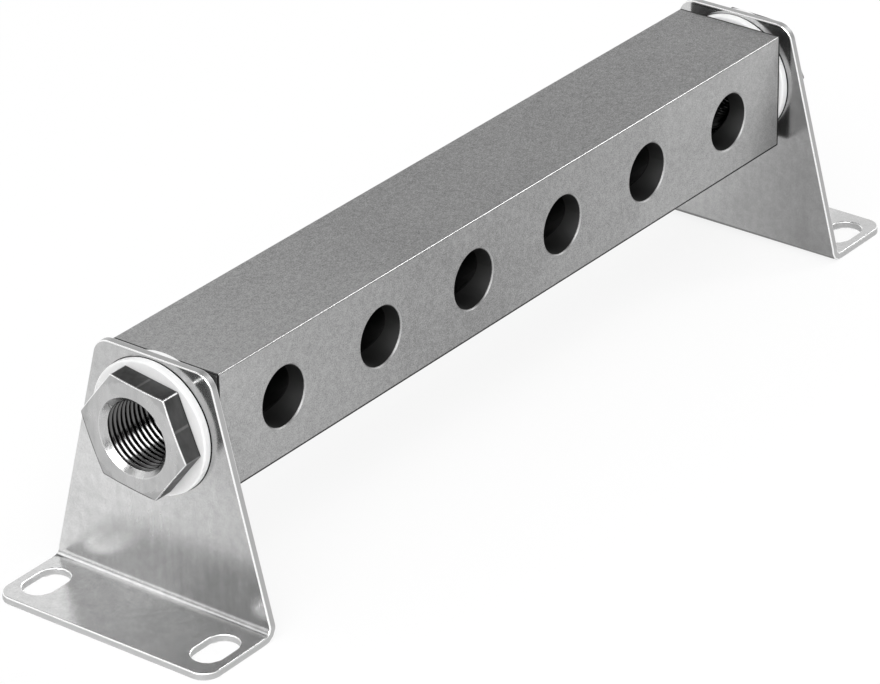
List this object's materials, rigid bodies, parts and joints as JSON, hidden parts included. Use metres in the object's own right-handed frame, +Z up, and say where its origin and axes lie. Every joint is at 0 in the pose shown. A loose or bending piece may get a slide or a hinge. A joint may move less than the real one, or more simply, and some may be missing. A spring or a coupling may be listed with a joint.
{
  "type": "valve manifold rail",
  "caption": "Square metal rail with a lengthwise gallery and a row of cross bores, held between two bent sheet brackets by threaded port bushings with sealing washers.",
  "frame": {"origin": "on the surface that the feet stand on, under the middle of the rail", "axes": "+X along the rail, +Z up, and the valve face looks along -Y"},
  "size_m": [0.2486, 0.0566, 0.0564],
  "materials": {
    "rail_metal": "fine blasted satin",
    "bracket_sheet": "bright plated sheet, slightly clouded",
    "bushing_metal": "turned and plated, satin",
    "washer_plastic": "smooth off-white"
  },
  "bodies": {
    "root": {"manifold_rail": "rail_metal", "left_bracket": "bracket_sheet", "left_bushing": "bushing_metal", "left_inner_washer": "washer_plastic", "left_outer_washer": "washer_plastic", "right_bracket": "bracket_sheet", "right_bushing": "bushing_metal", "right_inner_washer": "washer_plastic", "right_outer_washer": "washer_plastic"}
  },
  "joints": []
}
